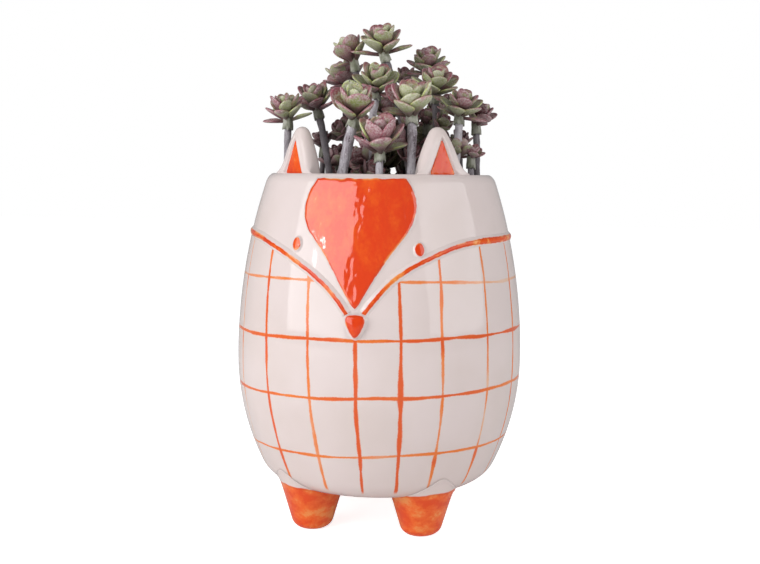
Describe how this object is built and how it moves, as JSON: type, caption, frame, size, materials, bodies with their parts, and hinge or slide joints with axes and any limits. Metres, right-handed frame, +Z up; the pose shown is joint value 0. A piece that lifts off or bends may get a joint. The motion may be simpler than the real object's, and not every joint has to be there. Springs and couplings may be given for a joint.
{
  "type": "animal shaped planter",
  "caption": "Footed egg-shaped glazed ceramic planter with a fox face, ears on its rim and a lift-out planting of artificial succulents in a foam block.",
  "frame": {"origin": "the pot's axis at the level of the feet's soles", "axes": "+Z up along the pot's axis, -Y the way the face looks, +X to the right of a viewer who looks at the face"},
  "size_m": [0.1364, 0.1387, 0.2358],
  "materials": {
    "white_glaze": "glossy warm white glaze with a hand-brushed orange grid",
    "brushed_glaze": "glossy orange glaze brushed thinly over a raised bead",
    "orange_glaze": "glossy orange glaze with darker pooled edges",
    "foot_glaze": "glossy mottled orange glaze",
    "foam": "fine-celled dark green florist's foam",
    "gravel": "fine mixed gravel glued in a layer",
    "bark": "matte grey moulded bark",
    "succulent": "powdery matte sage green with mauve blush"
  },
  "bodies": {
    "pot": {"brow_ridge": "brushed_glaze", "ear_left": "white_glaze", "ear_right": "white_glaze", "eye_left": "orange_glaze", "eye_right": "orange_glaze", "foot_front_left": "foot_glaze", "foot_front_right": "foot_glaze", "foot_rear_left": "foot_glaze", "foot_rear_right": "foot_glaze", "forehead_blaze": "orange_glaze", "inner_ear_left": "orange_glaze", "inner_ear_right": "orange_glaze", "nose": "orange_glaze", "pot_shell": "white_glaze"},
    "planting": {"dressing": "gravel", "foam_plug": "foam", "head_back_centre": "succulent", "head_back_left": "succulent", "head_back_mid": "succulent", "head_back_right": "succulent", "head_centre": "succulent", "head_deep_right": "succulent", "head_far_left": "succulent", "head_far_right": "succulent", "head_front_left": "succulent", "head_front_low": "succulent", "head_front_right": "succulent", "head_left_centre": "succulent", "head_left_mid": "succulent", "head_low_centre": "succulent", "head_low_left": "succulent", "head_low_right": "succulent", "head_mid_deep": "succulent", "head_right_low": "succulent", "head_right_mid": "succulent", "head_right_upper": "succulent", "head_top": "succulent", "head_upper_left": "succulent", "stem_back_centre": "bark", "stem_back_left": "bark", "stem_back_mid": "bark", "stem_back_right": "bark", "stem_centre": "bark", "stem_deep_right": "bark", "stem_far_left": "bark", "stem_far_right": "bark", "stem_front_left": "bark", "stem_front_low": "bark", "stem_front_right": "bark", "stem_left_centre": "bark", "stem_left_mid": "bark", "stem_low_centre": "bark", "stem_low_left": "bark", "stem_low_right": "bark", "stem_mid_deep": "bark", "stem_right_low": "bark", "stem_right_mid": "bark", "stem_right_upper": "bark", "stem_top": "bark", "stem_upper_left": "bark"}
  },
  "joints": [
    {"name": "plant_lift", "type": "slide", "parent": "pot", "child": "planting", "axis": [0, 0, 1], "range_m": [0, 0.17]}
  ]
}
